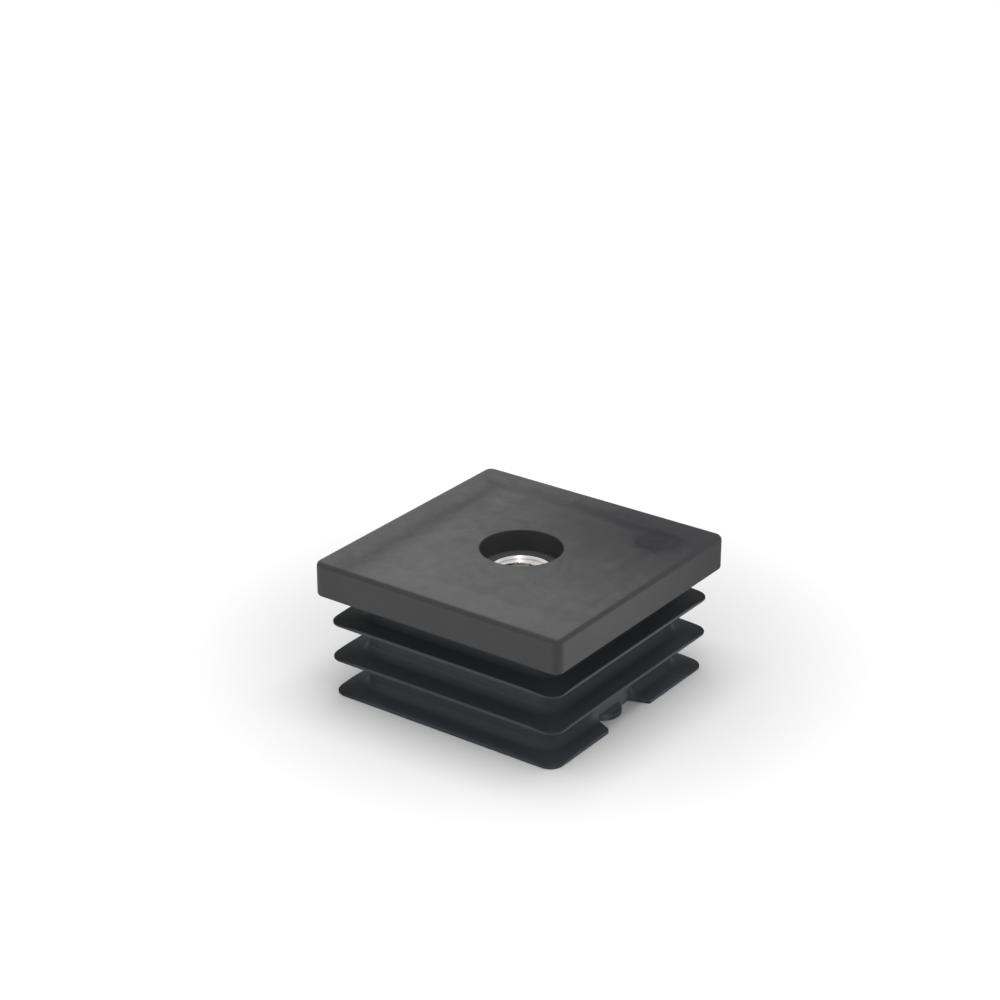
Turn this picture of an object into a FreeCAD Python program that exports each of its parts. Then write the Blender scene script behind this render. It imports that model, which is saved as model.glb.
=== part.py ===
"""Square end cap for a tube, with a threaded steel insert moulded into its middle.

A thick square head covers the tube's end. Below it a hollow square stem goes into the tube
and grips it with three thin flexible fins. A round boss on cross ribs holds the insert.

Frame: +Z points up through the head. The origin is the middle of the stem's foot, where the
cap stands. All sizes are in millimetres.
"""

import FreeCAD, Part
import math
import os

# Head
HEAD_SIDE = 40.0
HEAD_THICK = 5.0
HEAD_CORNER_R = 1.3
HEAD_TOP_EDGE_R = 0.7
HEAD_LOWER_EDGE_R = 0.4
HEAD_SKIN = 3.0

# Stem
STEM_SIDE = 31.0
STEM_LENGTH = 15.0
STEM_CORNER_R = 2.4
STEM_WALL = 2.0
CORE_DRAFT_DEG = 0.5

# Fins, counted from the foot upwards
FIN_COUNT = 3
FIN_SIDE = 37.6
LEAD_FIN_SIDE = 36.9
FIN_PITCH = 5.3
FIN_RIM_THICK = 0.55
FIN_ROOT_THICK = 1.0
FIN_CORNER_R = 2.0
FIN_ROOT_ROUND = 1.2

# Notch in the lowest fin, which leaves room for the gate mark on the stem
NOTCH_OFFSET = -0.6
NOTCH_ROOT_WIDTH = 8.0
NOTCH_RIM_WIDTH = 10.0
NOTCH_CORNER_R = 0.4
GATE_OFFSET = -1.2
GATE_WIDTH = 4.8
GATE_REACH = 1.5
GATE_THICK = 0.85

# Boss and cross ribs under the head
BOSS_WALL = 2.3
BOSS_LIFT = 1.0
RIB_THICK = 1.5
RIB_COUNT = 4

# Round seat sunk into the head
SEAT_R = 5.7
SEAT_DEPTH = 3.2
SEAT_CHAMFER = 0.1

# Threaded insert
THREAD_MINOR_R = 3.32
MOUTH_R = 4.3
COLLAR_R = 4.55
COLLAR_LENGTH = 0.8
BAND_R = 6.0
BAND_LENGTH = 4.0
GROOVE_R = 5.2
GROOVE_LENGTH = 2.0
TAIL_R = 5.2
TAIL_LENGTH = 1.0
FLUTE_COUNT = 16
FLUTE_DEPTH = 0.4
FLUTE_WIDTH = 0.9
OUTLET_R = 4.4

# Heights that follow from the sizes above
TOP_Z = STEM_LENGTH + HEAD_THICK
CEILING_Z = TOP_Z - HEAD_SKIN
SEAT_Z = TOP_Z - SEAT_DEPTH
INSERT_LENGTH = COLLAR_LENGTH + 2 * BAND_LENGTH + GROOVE_LENGTH + TAIL_LENGTH
INSERT_FOOT_Z = SEAT_Z - INSERT_LENGTH
BOSS_R = BAND_R + BOSS_WALL

# Cutters reach this far past the faces that they open
OVERRUN = 1.0
# Joined pieces reach this far into each other, so that they become one solid
BURY = 0.4

UP = FreeCAD.Vector(0, 0, 1)


def rounded_square(side, corner_r, z):
    """Closed wire of a square with rounded corners, centred on the axis at height z."""
    half = side / 2
    flat = half - corner_r
    bulge = flat + corner_r * math.cos(math.radians(45))
    quarter = [
        (FreeCAD.Vector(half, -flat, z), FreeCAD.Vector(half, flat, z)),
        (FreeCAD.Vector(half, flat, z), FreeCAD.Vector(bulge, bulge, z), FreeCAD.Vector(flat, half, z)),
    ]
    edges = []
    for turn in range(4):
        spin = FreeCAD.Rotation(UP, 90 * turn)
        start, end = [spin.multVec(point) for point in quarter[0]]
        edges.append(Part.LineSegment(start, end).toShape())
        edges.append(Part.Arc(*[spin.multVec(point) for point in quarter[1]]).toShape())
    return Part.Wire(edges)


def prism(side, corner_r, low_z, high_z):
    """Upright block with rounded corners."""
    face = Part.Face(rounded_square(side, corner_r, low_z))
    return face.extrude(FreeCAD.Vector(0, 0, high_z - low_z))


def turned(outline):
    """Solid of revolution about the axis from a list of (radius, height) points."""
    points = [FreeCAD.Vector(radius, 0, height) for radius, height in outline]
    wire = Part.makePolygon(points + points[:1])
    return Part.Face(wire).revolve(FreeCAD.Vector(0, 0, 0), UP, 360)


def cylinder(radius, low_z, high_z):
    """Upright cylinder on the axis."""
    return Part.makeCylinder(radius, high_z - low_z, FreeCAD.Vector(0, 0, low_z), UP)


def level_edges(shape, z):
    """Edges of a shape that lie flat at height z."""
    tolerance = 1e-4
    return [edge for edge in shape.Edges
            if abs(edge.BoundBox.ZMin - z) < tolerance and abs(edge.BoundBox.ZMax - z) < tolerance]


def head():
    """Thick square plate with a soft top edge and a finer lower edge."""
    plate = prism(HEAD_SIDE, HEAD_CORNER_R, STEM_LENGTH, TOP_Z)
    plate = plate.makeFillet(HEAD_TOP_EDGE_R, level_edges(plate, TOP_Z))
    return plate.makeFillet(HEAD_LOWER_EDGE_R, level_edges(plate, STEM_LENGTH))


def stem():
    """Square stem, still solid, that reaches up into the head."""
    return prism(STEM_SIDE, STEM_CORNER_R, 0, STEM_LENGTH + BURY)


def fin_section(side, low_z):
    """Section of a fin on the +X side: flat below, tapered above, with a round into the stem's wall."""
    wall_x = STEM_SIDE / 2
    rim_x = side / 2
    rim_z = low_z + FIN_RIM_THICK
    slope = (FIN_ROOT_THICK - FIN_RIM_THICK) / (rim_x - wall_x)
    tilt = math.atan(slope)
    # The taper runs on past the rim, as far as the rim's corners reach
    far_x = wall_x + math.sqrt(2) * (rim_x - wall_x) + OVERRUN
    centre = FreeCAD.Vector(wall_x + FIN_ROOT_ROUND, 0, 0)
    centre.z = rim_z + slope * (rim_x - centre.x) + FIN_ROOT_ROUND / math.cos(tilt)
    on_wall = centre - FreeCAD.Vector(FIN_ROOT_ROUND, 0, 0)
    on_taper = centre - FreeCAD.Vector(math.sin(tilt), 0, math.cos(tilt)) * FIN_ROOT_ROUND
    half_way = math.pi / 4 + tilt / 2
    between = centre - FreeCAD.Vector(math.sin(half_way), 0, math.cos(half_way)) * FIN_ROOT_ROUND
    corners = [
        on_wall,
        FreeCAD.Vector(wall_x - BURY, 0, on_wall.z),
        FreeCAD.Vector(wall_x - BURY, 0, low_z),
        FreeCAD.Vector(far_x, 0, low_z),
        FreeCAD.Vector(far_x, 0, rim_z + slope * (rim_x - far_x)),
        on_taper,
    ]
    root_round = Part.Arc(on_taper, between, on_wall).toShape()
    return Part.Face(Part.Wire(Part.makePolygon(corners).Edges + [root_round]))


def fin(side, low_z):
    """One fin: its section run along the stem's sides, turned round its corners and trimmed to the rim."""
    section = fin_section(side, low_z)
    flat = STEM_SIDE / 2 - STEM_CORNER_R
    pieces = []
    for turn in range(4):
        side_start = section.translated(FreeCAD.Vector(0, -flat, 0))
        corner_start = section.translated(FreeCAD.Vector(0, flat, 0))
        straight = side_start.extrude(FreeCAD.Vector(0, 2 * flat, 0))
        corner = corner_start.revolve(FreeCAD.Vector(flat, flat, 0), UP, 90)
        for piece in (straight, corner):
            piece.rotate(FreeCAD.Vector(0, 0, 0), UP, 90 * turn)
            pieces.append(piece)
    ring = pieces[0].fuse(pieces[1:])
    return ring.common(prism(side, FIN_CORNER_R, low_z, low_z + FIN_PITCH)).removeSplitter()


def notched(lead_fin):
    """Lowest fin with a flared notch cut down to the stem in its +X side."""
    root_x = STEM_SIDE / 2
    rim_x = LEAD_FIN_SIDE / 2
    flare = (NOTCH_RIM_WIDTH - NOTCH_ROOT_WIDTH) / 2 / (rim_x - root_x)
    inner = NOTCH_ROOT_WIDTH / 2
    outer = inner + flare * (rim_x + OVERRUN - root_x)
    corners = [(root_x, -inner), (rim_x + OVERRUN, -outer), (rim_x + OVERRUN, outer), (root_x, inner)]
    points = [FreeCAD.Vector(x, y + NOTCH_OFFSET, -OVERRUN) for x, y in corners]
    face = Part.Face(Part.makePolygon(points + points[:1]))
    cut = lead_fin.cut(face.extrude(FreeCAD.Vector(0, 0, FIN_PITCH)))
    tolerance = 1e-3
    tips = [edge for edge in cut.Edges
            if edge.BoundBox.XLength < tolerance and edge.BoundBox.YLength < tolerance
            and abs(edge.BoundBox.XMin - rim_x) < tolerance
            and abs(abs(edge.BoundBox.YMin - NOTCH_OFFSET) - NOTCH_RIM_WIDTH / 2) < tolerance]
    return cut.makeFillet(NOTCH_CORNER_R, tips)


def fins():
    """All fins, the lowest one narrower and notched."""
    return [notched(fin(LEAD_FIN_SIDE, 0))] + [fin(FIN_SIDE, FIN_PITCH * index) for index in range(1, FIN_COUNT)]


def gate_mark():
    """Small rounded tab left by the gate at the stem's foot, inside the notch but off its middle."""
    root_x = STEM_SIDE / 2
    near_y = GATE_OFFSET - GATE_WIDTH / 2
    far_y = GATE_OFFSET + GATE_WIDTH / 2
    arc = Part.Arc(
        FreeCAD.Vector(root_x, near_y, 0),
        FreeCAD.Vector(root_x + GATE_REACH, GATE_OFFSET, 0),
        FreeCAD.Vector(root_x, far_y, 0),
    ).toShape()
    back = Part.makePolygon([
        FreeCAD.Vector(root_x, far_y, 0),
        FreeCAD.Vector(root_x - BURY, far_y, 0),
        FreeCAD.Vector(root_x - BURY, near_y, 0),
        FreeCAD.Vector(root_x, near_y, 0),
    ])
    return Part.Face(Part.Wire([arc] + back.Edges)).extrude(FreeCAD.Vector(0, 0, GATE_THICK))


def core():
    """Space under the head: the drafted hollow of the stem less the boss and the cross ribs."""
    draft = math.tan(math.radians(CORE_DRAFT_DEG))
    foot_side = STEM_SIDE - 2 * STEM_WALL
    foot_r = max(STEM_CORNER_R - STEM_WALL, BURY)
    low_z = -OVERRUN
    hollow = Part.makeLoft([
        rounded_square(foot_side - 2 * draft * low_z, foot_r, low_z),
        rounded_square(foot_side - 2 * draft * CEILING_Z, foot_r, CEILING_Z),
    ], True, True)
    hollow = hollow.cut(cylinder(BOSS_R, BOSS_LIFT, TOP_Z))
    height = TOP_Z - BOSS_LIFT
    for index in range(RIB_COUNT):
        rib = Part.makeBox(HEAD_SIDE / 2, RIB_THICK, height, FreeCAD.Vector(0, -RIB_THICK / 2, BOSS_LIFT))
        rib.rotate(FreeCAD.Vector(0, 0, 0), UP, 360 / RIB_COUNT * index)
        hollow = hollow.cut(rib)
    return hollow


def insert_blank():
    """Outside of the insert: collar, two fluted bands with a groove between them, and a tail."""
    top_z = SEAT_Z
    upper_z = top_z - COLLAR_LENGTH
    groove_top_z = upper_z - BAND_LENGTH
    groove_foot_z = groove_top_z - GROOVE_LENGTH
    lower_z = groove_foot_z - BAND_LENGTH
    outline = [
        (0, top_z),
        (COLLAR_R, top_z),
        (COLLAR_R, upper_z),
        (BAND_R, upper_z),
        (BAND_R, groove_top_z),
        (GROOVE_R, groove_top_z),
        (GROOVE_R, groove_foot_z),
        (BAND_R, groove_foot_z),
        (BAND_R, lower_z),
        (TAIL_R, lower_z),
        (TAIL_R, INSERT_FOOT_Z),
        (0, INSERT_FOOT_Z),
    ]
    blank = turned(outline)
    flute_length = upper_z - lower_z
    root_x = BAND_R - FLUTE_DEPTH
    mouth_x = BAND_R + FLUTE_DEPTH
    points = [
        FreeCAD.Vector(root_x, 0, lower_z),
        FreeCAD.Vector(mouth_x, FLUTE_WIDTH, lower_z),
        FreeCAD.Vector(mouth_x, -FLUTE_WIDTH, lower_z),
    ]
    flute = Part.Face(Part.makePolygon(points + points[:1])).extrude(FreeCAD.Vector(0, 0, flute_length))
    cutters = []
    for index in range(FLUTE_COUNT):
        cutter = flute.copy()
        cutter.rotate(FreeCAD.Vector(0, 0, 0), UP, 360 / FLUTE_COUNT * index)
        cutters.append(cutter)
    return blank.cut(cutters)


def insert_bore():
    """Threaded hole at its minor radius, with a chamfer at each end."""
    lead_in = MOUTH_R - THREAD_MINOR_R
    return turned([
        (0, INSERT_FOOT_Z - OVERRUN),
        (MOUTH_R, INSERT_FOOT_Z - OVERRUN),
        (MOUTH_R, INSERT_FOOT_Z),
        (THREAD_MINOR_R, INSERT_FOOT_Z + lead_in),
        (THREAD_MINOR_R, SEAT_Z - lead_in),
        (MOUTH_R, SEAT_Z),
        (MOUTH_R, SEAT_Z + OVERRUN),
        (0, SEAT_Z + OVERRUN),
    ])


def cap_body():
    """The whole plastic moulding, shaped round the insert."""
    body = head().fuse([stem()] + fins() + [gate_mark()])
    body = body.cut(core())
    body = body.cut(cylinder(SEAT_R, SEAT_Z, TOP_Z + OVERRUN))
    body = body.cut(Part.makeCone(
        SEAT_R, SEAT_R + SEAT_CHAMFER + OVERRUN, SEAT_CHAMFER + OVERRUN,
        FreeCAD.Vector(0, 0, TOP_Z - SEAT_CHAMFER), UP,
    ))
    body = body.cut([insert_blank(), cylinder(OUTLET_R, BOSS_LIFT - OVERRUN, INSERT_FOOT_Z)])
    return body.removeSplitter()


def threaded_insert():
    """The steel insert, held in the boss by its flutes and its groove."""
    return insert_blank().cut(insert_bore()).removeSplitter()


def main():
    """Write each piece as its own file."""
    os.makedirs("parts", exist_ok=True)
    pieces = {
        "cap_body": cap_body(),
        "threaded_insert": threaded_insert(),
    }
    for name, shape in pieces.items():
        solid = shape.Solids[0]
        box = solid.BoundBox
        print(name, "solids", len(shape.Solids), "valid", solid.isValid(), "volume", round(solid.Volume, 2))
        print("  box", round(box.XLength, 3), round(box.YLength, 3), round(box.ZMin, 3), round(box.ZMax, 3))
        solid.exportStep("parts/" + name + ".step")


main()
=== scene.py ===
"""Looks of the square tube end cap.

A matt black moulding, hollow below and ringed by three thin fins, holds a zinc plated steel insert
with a metric thread. Both visible pieces are built here as fine meshes of the same form as the
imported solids, with the soft edges, shallow sinks and thread that the solids leave out.

Sizes are in millimetres, in the part's own frame, and become metres when a mesh is made.
"""

import logging
import math
from collections.abc import Mapping, Sequence
from dataclasses import dataclass
from enum import Enum
from typing import Any, TypeAlias

import bmesh
import bpy
import numpy as np
from mathutils import Matrix, Vector


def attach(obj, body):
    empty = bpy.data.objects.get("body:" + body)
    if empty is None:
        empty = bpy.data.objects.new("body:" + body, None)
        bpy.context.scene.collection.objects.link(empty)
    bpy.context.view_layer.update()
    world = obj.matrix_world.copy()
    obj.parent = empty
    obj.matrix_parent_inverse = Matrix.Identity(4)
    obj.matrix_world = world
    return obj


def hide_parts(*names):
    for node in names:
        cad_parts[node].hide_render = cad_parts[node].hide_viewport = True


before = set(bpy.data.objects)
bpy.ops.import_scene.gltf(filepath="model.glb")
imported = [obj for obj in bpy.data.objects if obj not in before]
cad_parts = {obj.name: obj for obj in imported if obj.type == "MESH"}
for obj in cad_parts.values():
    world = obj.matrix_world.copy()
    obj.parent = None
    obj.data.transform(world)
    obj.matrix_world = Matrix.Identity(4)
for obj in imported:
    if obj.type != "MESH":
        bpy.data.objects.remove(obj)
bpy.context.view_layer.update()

MM = 0.001
LOG = logging.getLogger("end_cap")

Points: TypeAlias = np.ndarray
Setting: TypeAlias = Mapping[str, Any]
Value: TypeAlias = "Signal | float"
Pair: TypeAlias = tuple[float, float]
Triple: TypeAlias = tuple[float, float, float]
Tone: TypeAlias = tuple[float, float, float, float]


class Slot(Enum):
    """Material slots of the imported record."""

    PLASTIC = "black_plastic"
    STEEL = "zinc_steel"


class Spread(Enum):
    """How the points of a ring are spread along its four straight sides."""

    EVEN = "even"
    NOTCHED = "notched"
    RIBBED = "ribbed"


def find_socket(sockets: Sequence[bpy.types.NodeSocket], key: int | str) -> bpy.types.NodeSocket:
    """Find one socket of a node.

    Args:
        sockets: The node's inputs or outputs.
        key: The socket's number, identifier or name.

    Returns:
        The socket.
    """
    if isinstance(key, int):
        return sockets[key]
    for socket in sockets:
        if socket.identifier == key:
            return socket
    return sockets[key]


class Signal:
    """One output of a shader node, for use in plain arithmetic."""

    def __init__(self, maker: "NodeMaker", node: bpy.types.Node, output: int | str = 0) -> None:
        """Keep one output of a node.

        Args:
            maker: The maker that adds further nodes.
            node: The node that the output belongs to.
            output: The output's number or name.
        """
        self.maker = maker
        self.node = node
        self.output = output

    @property
    def socket(self) -> bpy.types.NodeSocket:
        """The output's socket."""
        return find_socket(self.node.outputs, self.output)

    def other(self, output: int | str) -> "Signal":
        """Another output of the same node."""
        return Signal(self.maker, self.node, output)

    def _maths(self, operation: str, first: Value, second: Value = 0.0) -> "Signal":
        """Result of a Math node on one or two values."""
        return self.maker.add("ShaderNodeMath", {"operation": operation}, {0: first, 1: second})

    def __add__(self, other: Value) -> "Signal":
        """Sum."""
        return self._maths("ADD", self, other)

    __radd__ = __add__

    def __sub__(self, other: Value) -> "Signal":
        """Difference."""
        return self._maths("SUBTRACT", self, other)

    def __rsub__(self, other: Value) -> "Signal":
        """Difference, with this value taken away."""
        return self._maths("SUBTRACT", other, self)

    def __mul__(self, other: Value) -> "Signal":
        """Product."""
        return self._maths("MULTIPLY", self, other)

    __rmul__ = __mul__

    def __pow__(self, other: Value) -> "Signal":
        """Power."""
        return self._maths("POWER", self, other)

    def __abs__(self) -> "Signal":
        """Size without sign."""
        return self._maths("ABSOLUTE", self)

    def at_most(self, other: Value) -> "Signal":
        """The smaller of the two."""
        return self._maths("MINIMUM", self, other)

    def at_least(self, other: Value) -> "Signal":
        """The larger of the two."""
        return self._maths("MAXIMUM", self, other)

    def arctan2(self, other: Value) -> "Signal":
        """Angle of the point whose height is this value and whose width is the other."""
        return self._maths("ARCTAN2", self, other)

    def distance(self, other: "Signal", point: Pair = (0.0, 0.0)) -> "Signal":
        """Distance from a point in the plane that this value and the other span."""
        return ((self - point[0]) ** 2 + (other - point[1]) ** 2) ** 0.5

    def step(self, start: float, end: float, low: float = 0.0, high: float = 1.0) -> "Signal":
        """Smooth step from one level to another.

        Args:
            start: Value at which the step begins.
            end: Value at which it ends.
            low: Level before the step.
            high: Level after it.

        Returns:
            The stepped value.
        """
        settings = {"interpolation_type": "SMOOTHSTEP"}
        return self.maker.add("ShaderNodeMapRange", settings, {0: self, 1: start, 2: end, 3: low, 4: high})

    def fade(self, start: float, end: float, level: float = 1.0) -> "Signal":
        """Smooth step from a level down to 0."""
        return self.step(start, end, level, 0.0)

    def hump(self, centre: float, width: float) -> "Signal":
        """Smooth hump of height 1 round a value, gone at that width on either side."""
        return abs(self - centre).fade(0.0, width)


class NodeMaker:
    """Adds nodes to the tree of one material or of the world."""

    def __init__(self, owner: bpy.types.Material | bpy.types.World) -> None:
        """Start from an empty tree.

        Args:
            owner: The material or world to fill.
        """
        owner.use_nodes = True
        self.tree = owner.node_tree
        self.tree.nodes.clear()

    def add(self, kind: str, settings: Setting | None = None, inputs: Mapping[int | str, Any] | None = None,
            output: int | str = 0) -> Signal:
        """Add one node.

        Args:
            kind: The node's type.
            settings: Its properties, set before its sockets.
            inputs: Values or signals of its sockets, by number, name or identifier.
            output: The output to return.

        Returns:
            The chosen output.
        """
        node = self.tree.nodes.new(kind)
        for name, value in (settings or {}).items():
            setattr(node, name, value)
        for key, value in (inputs or {}).items():
            socket = find_socket(node.inputs, key)
            if isinstance(value, Signal):
                self.tree.links.new(value.socket, socket)
            else:
                socket.default_value = value
        return Signal(self, node, output)

    def place(self) -> Signal:
        """Place on the object in millimetres, as a vector."""
        metres = self.add("ShaderNodeTexCoord", output="Object")
        return self.add("ShaderNodeVectorMath", {"operation": "SCALE"}, {"Vector": metres, "Scale": 1 / MM})

    def axes(self, vector: Signal) -> tuple[Signal, Signal, Signal]:
        """X, Y and Z of a vector."""
        split = self.add("ShaderNodeSeparateXYZ", inputs={0: vector})
        return split, split.other(1), split.other(2)

    def noise(self, vector: Signal, scale: float, detail: float = 2.0, rough: float = 0.5,
              twist: float = 0.0) -> Signal:
        """Soft random value round 0.5.

        Args:
            vector: Place at which the value is read.
            scale: Spots in each unit of length.
            detail: Number of finer layers.
            rough: Strength of the finer layers.
            twist: Distortion of the spots.

        Returns:
            The random value.
        """
        inputs = {"Vector": vector, "Scale": scale, "Detail": detail, "Roughness": rough, "Distortion": twist}
        return self.add("ShaderNodeTexNoise", inputs=inputs)

    def blend(self, share: Signal, first: Signal | Tone, second: Signal | Tone) -> Signal:
        """Colour between two colours.

        Args:
            share: Share of the second colour.
            first: First colour.
            second: Second colour.

        Returns:
            The blended colour.
        """
        inputs = {"Factor_Float": share, "A_Color": first, "B_Color": second}
        return self.add("ShaderNodeMix", {"data_type": "RGBA"}, inputs, "Result_Color")

    def bump(self, height: Signal, depth: float) -> Signal:
        """Normal of a relief finer than the mesh.

        Args:
            height: Height from 0 to 1.
            depth: Depth of that range in millimetres.

        Returns:
            The normal.
        """
        return self.add("ShaderNodeBump", inputs={"Strength": 1.0, "Distance": depth * MM, "Height": height})

    def finish(self, surface: Signal, kind: str = "ShaderNodeOutputMaterial") -> None:
        """Lead a shader to the output."""
        self.add(kind, inputs={"Surface": surface})


def colour(red: float, green: float, blue: float) -> Tone:
    """Opaque colour from linear red, green and blue."""
    return (red, green, blue, 1.0)


def grey(level: float) -> Tone:
    """Opaque grey from its linear level."""
    return colour(level, level, level)


@dataclass(frozen=True)
class Finish:
    """A procedural finish with the name of its material."""

    name: str

    def shade(self, maker: NodeMaker) -> Signal:
        """Shader of the finish, which each finish makes in its own way."""
        raise NotImplementedError(self.name)

    def material(self) -> bpy.types.Material:
        """Material with this finish.

        Returns:
            The material.
        """
        made = bpy.data.materials.new(self.name)
        maker = NodeMaker(made)
        maker.finish(self.shade(maker))
        return made


class MouldingSurface:
    """Place and facing on the moulding, with two soft random values. The sizes are the moulding's own."""

    HEAD_Z = 15.0
    TOP_Z = 20.0
    WALL_X = 15.5
    SEAT_R = 5.7
    SEAT_FLOOR_Z = 16.8
    STEP = 0.05
    # Spots in a millimetre, finer layers, their strength and twist
    FLOW_NOISE = (0.16, 4.0, 0.62, 1.4)
    FLECK_NOISE = (0.5, 3.0, 0.6, 0.8)

    def __init__(self, maker: NodeMaker) -> None:
        """Add the nodes.

        Args:
            maker: The maker of the material's nodes.
        """
        self.maker = maker
        self.place = maker.place()
        self.x, self.y, self.z = maker.axes(self.place)
        facing = maker.add("ShaderNodeTexCoord", output="Normal")
        self.facing_x, self.facing_y, self.facing_z = maker.axes(facing)
        self.across = abs(self.facing_x).step(0.3, 0.9)
        self.past_wall = abs(self.x).at_least(abs(self.y)) - self.WALL_X
        self.past_seat = self.x.distance(self.y) - self.SEAT_R
        self.on_head = self.z.step(self.HEAD_Z - self.STEP, self.HEAD_Z + self.STEP)
        self.on_top = self.z.step(self.TOP_Z - 0.5, self.TOP_Z - 0.1)
        # Band over the stem's wall, where the head's top has sunk a little as it cooled
        self.sunk = self.past_wall.hump(-0.9, 1.6)
        self.flow = maker.noise(self.place, *self.FLOW_NOISE)
        self.fleck = maker.noise(self.place, *self.FLECK_NOISE)

    def stray(self, flow_reach: float, fleck_reach: float = 0.0) -> Signal:
        """Random amount round 0, of long and of short reach."""
        return (self.flow - 0.5) * flow_reach + (self.fleck - 0.5) * fleck_reach


@dataclass(frozen=True)
class TopShadeAndSmudge:
    """Marks of the head's top: a broad corner of painted shade with dull sheen, a smudge in it and a dark
    tail along the sunk band.
    """

    corner_at: Pair = (11.5, 17.0)
    corner_reach: float = 38.0
    corner_stray: float = 16.0
    smudge_at: Pair = (14.0, 12.3)
    smudge_r: float = 2.5
    smudge_stray: Pair = (4.0, 3.5)
    smudge_core: float = 0.68
    ring_gain: float = 0.22
    hollow_loss: float = 0.20
    tail_share: float = 0.40

    def corner(self, at: MouldingSurface) -> Signal:
        """Share of the broad corner of painted shade."""
        off = at.x.distance(at.y, self.corner_at) + at.stray(self.corner_stray)
        return off.fade(0.0, self.corner_reach)

    def smudge(self, at: MouldingSurface, corner: Signal) -> Signal:
        """Share of the smudge and its tail.

        Args:
            at: Signals of the surface.
            corner: Share of the corner of painted shade.

        Returns:
            Share from 0 to 1.
        """
        radius = self.smudge_r
        off = at.x.distance(at.y, self.smudge_at) + at.stray(*self.smudge_stray)
        spot = off.fade(radius * 0.4, radius * 2.0, self.smudge_core)
        spot = spot + off.hump(radius, 0.9) * self.ring_gain - off.hump(radius * 0.55, 0.6) * self.hollow_loss
        tail = at.sunk * corner ** 4 * at.x.step(4.0, 11.0) * self.tail_share
        return spot.at_least(tail)


@dataclass(frozen=True)
class SkinSheen:
    """Strength of the plastic's sleek skin: strongest on flat faces, with painted highlights and painted
    shade by place.
    """

    top: float = 0.92
    side: float = 0.46
    # Duller edge rounds: painted shade along the head's edges
    edge: float = 0.17
    rim: float = 0.60
    wall: float = 0.26
    mottle: Pair = (0.8, 0.5)
    # Painted highlight: a brighter patch of sheen near the front of the top
    painted_highlight_at: Pair = (-4.0, -13.0)
    painted_highlight_r: float = 9.0
    painted_highlight_gain: float = 0.12
    # Painted shade: the sheen fades in the top's dark corner
    dark_corner_loss: float = 0.95
    smudge_loss: float = 0.25
    # A duller band of sheen along the back and left edges of the top
    dull_band_at: float = 15.6
    dull_band_stray: float = 7.0
    dull_band_loss: float = 0.18
    # Painted shade: the top's sheen is duller towards its left and right edges and in a band over the left
    # wall
    left_loss: float = 0.26
    right_loss: float = 0.17
    left_band_loss: float = 0.16
    # Painted shade at the left end of the head's sides; painted highlight on the head's faces across X,
    # fading to painted shade towards +Y; painted shade on the stem's walls across X
    left_end_loss: float = 0.07
    across_gain: float = 0.20
    across_fade: float = 0.56
    across_loss: float = 0.15
    # Painted shade on the upright corners and on the seat's wall
    corner_loss: float = 0.60
    seat_loss: float = 0.65

    def on_top(self, at: MouldingSurface, dark_corner: Signal, smudge: Signal) -> Signal:
        """Strength on the head's top.

        Args:
            at: Signals of the surface.
            dark_corner: Share of the corner of painted shade.
            smudge: Share of the smudge.

        Returns:
            Strength from 0 to 1.
        """
        # Painted highlight near the front of the top
        painted_highlight = at.x.distance(at.y, self.painted_highlight_at).fade(0.0, self.painted_highlight_r, self.painted_highlight_gain)
        dull_band = (at.y.at_least(0 - at.x) + at.stray(self.dull_band_stray)).hump(self.dull_band_at, 2.0)
        # Painted shade dulls the sheen in the top's dark corner
        lost = dark_corner * self.dark_corner_loss + smudge * self.smudge_loss + dull_band * self.dull_band_loss
        # Painted shade towards the top's left and right edges and over its left wall
        lost = lost + at.x.fade(-15.5, -11.0, self.left_loss) + at.x.step(11.0, 18.5, 0.0, self.right_loss)
        lost = lost + at.x.hump(-14.2, 2.4) * at.y.fade(6.0, 16.0, self.left_band_loss)
        return (self.top + at.stray(*self.mottle) + painted_highlight) * (1 - lost)

    def strength(self, at: MouldingSurface, dark_corner: Signal, smudge: Signal) -> Signal:
        """Strength anywhere on the moulding.

        Args:
            at: Signals of the surface.
            dark_corner: Share of the corner of painted shade.
            smudge: Share of the smudge.

        Returns:
            Strength from 0 to 1.
        """
        upright = abs(at.facing_z).fade(0.1, 0.5)
        level = at.facing_z.step(0.90, 0.99)
        corner = abs(at.facing_x * at.facing_y).step(0.1, 0.5)
        # Painted shade at the left end of the sides; painted highlight on the faces across X, fading towards
        # +Y
        side = self.side - at.x.fade(-19.0, -12.0, self.left_end_loss)
        side = side + at.across * (self.across_gain - at.y.step(-12.0, 24.0) * self.across_fade)
        # The edge rounds take the duller edge sheen: painted shade
        head = upright * (side - self.edge) + self.edge + (self.on_top(at, dark_corner, smudge) - self.edge) * level
        # Painted shade on the seat's wall
        in_seat = at.past_seat.fade(-0.05, 0.1) * (1 - level)
        head = head * (1 - in_seat * self.seat_loss)
        # Painted shade on the stem's walls across X
        wall = self.wall - at.across * self.across_loss
        stem = upright * (wall + (self.rim - wall) * at.past_wall.step(1.5, 2.0))
        # Painted shade on the upright corners
        return (stem + (head - stem) * at.on_head) * (1 - corner * self.corner_loss)


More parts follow.
